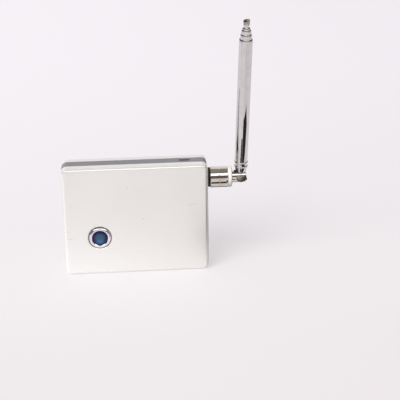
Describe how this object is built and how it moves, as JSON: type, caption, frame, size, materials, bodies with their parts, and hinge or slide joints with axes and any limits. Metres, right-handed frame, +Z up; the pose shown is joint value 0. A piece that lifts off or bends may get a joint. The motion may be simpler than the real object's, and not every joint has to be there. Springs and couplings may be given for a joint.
{
  "type": "wireless receiver unit",
  "caption": "Flat upright receiver unit: pearl shells on a grey band, blue button in a chrome ring, and a bayonet-mounted folding telescopic antenna.",
  "frame": {"origin": "centre of the long narrow face that the case stands on", "axes": "+X to the right seen from the front, towards the antenna; +Y to the back; +Z up"},
  "size_m": [0.1294, 0.0336, 0.1792],
  "materials": {
    "pearl_paint": "pearl-silver paint, satin gloss",
    "band_grey": "grey moulded plastic",
    "black_plastic": "black moulded plastic",
    "white_plastic": "ivory moulded plastic",
    "clear_guide": "clear moulded light guide",
    "blue_lens": "deep blue tinted, polished",
    "bright_chrome": "bright chrome plating",
    "nickel": "bright nickel plating",
    "steel": "plain steel",
    "gold": "gold-plated brass",
    "board_green": "solder-masked laminate",
    "silicone": "silicone rubber",
    "foam": "adhesive foam",
    "cell_wrap": "foil-wrapped cell"
  },
  "bodies": {
    "case": {"front_cover": "pearl_paint", "back_cover": "pearl_paint", "middle_frame": "band_grey", "case_screws": "steel", "button_bezel": "bright_chrome", "button_seal": "black_plastic", "switch_housing": "black_plastic", "status_led": "clear_guide", "main_board": "board_green", "board_screws": "steel", "shield_can": "steel", "radio_chips": "black_plastic", "capacitors": "black_plastic", "crystal_can": "steel", "usb_shell": "steel", "usb_tongue": "black_plastic", "usb_contacts": "gold", "battery": "cell_wrap", "battery_pad": "foam", "battery_tabs": "steel", "jack_body": "nickel", "jack_collar": "black_plastic", "jack_insulator": "white_plastic", "jack_contact": "gold", "plug_body": "nickel", "plug_gasket": "silicone", "nut_spring": "steel", "plug_insulator": "white_plastic", "centre_pin": "gold", "contact_disc": "gold", "antenna_insulator": "white_plastic"},
    "button": {"button_cap": "blue_lens", "button_stem": "clear_guide", "switch_plunger": "black_plastic"},
    "nut": {"coupling_nut": "nickel"},
    "swivel": {"elbow": "nickel", "swivel_clip": "steel", "elbow_pin": "steel", "elbow_washers": "white_plastic"},
    "mast": {"mast_foot": "bright_chrome", "mast_tube_1": "bright_chrome"},
    "section_2": {"mast_tube_2": "bright_chrome", "mast_guide_2": "gold"},
    "section_3": {"mast_tube_3": "bright_chrome", "mast_guide_3": "gold"},
    "section_4": {"mast_tube_4": "bright_chrome", "mast_guide_4": "gold"},
    "tip": {"tip_rod": "bright_chrome", "tip_guide": "gold", "tip_cap": "bright_chrome"}
  },
  "joints": [
    {"name": "button_press", "type": "slide", "parent": "case", "child": "button", "axis": [0, 1, 0], "range_m": [0, 0.0005], "stiffness_N_per_m": 1500},
    {"name": "nut_turn", "type": "hinge", "parent": "case", "child": "nut", "pos_m": [0.05, 0, 0.0652], "axis": [1, 0, 0], "range_deg": [0, 90]},
    {"name": "antenna_swivel", "type": "hinge", "parent": "case", "child": "swivel", "pos_m": [0.07345, 0, 0.0652], "axis": [1, 0, 0], "continuous": true},
    {"name": "antenna_elbow", "type": "hinge", "parent": "swivel", "child": "mast", "pos_m": [0.07345, 0, 0.0652], "axis": [0, 0.9848, 0.1736], "range_deg": [-0.8, 89.2]},
    {"name": "section_2_slide", "type": "slide", "parent": "mast", "child": "section_2", "axis": [0.014, -0.1736, 0.9847], "range_m": [0, 0.079]},
    {"name": "section_3_slide", "type": "slide", "parent": "section_2", "child": "section_3", "axis": [0.014, -0.1736, 0.9847], "range_m": [0, 0.079]},
    {"name": "section_4_slide", "type": "slide", "parent": "section_3", "child": "section_4", "axis": [0.014, -0.1736, 0.9847], "range_m": [0, 0.079]},
    {"name": "tip_slide", "type": "slide", "parent": "section_4", "child": "tip", "axis": [0.014, -0.1736, 0.9847], "range_m": [0, 0.079]}
  ]
}
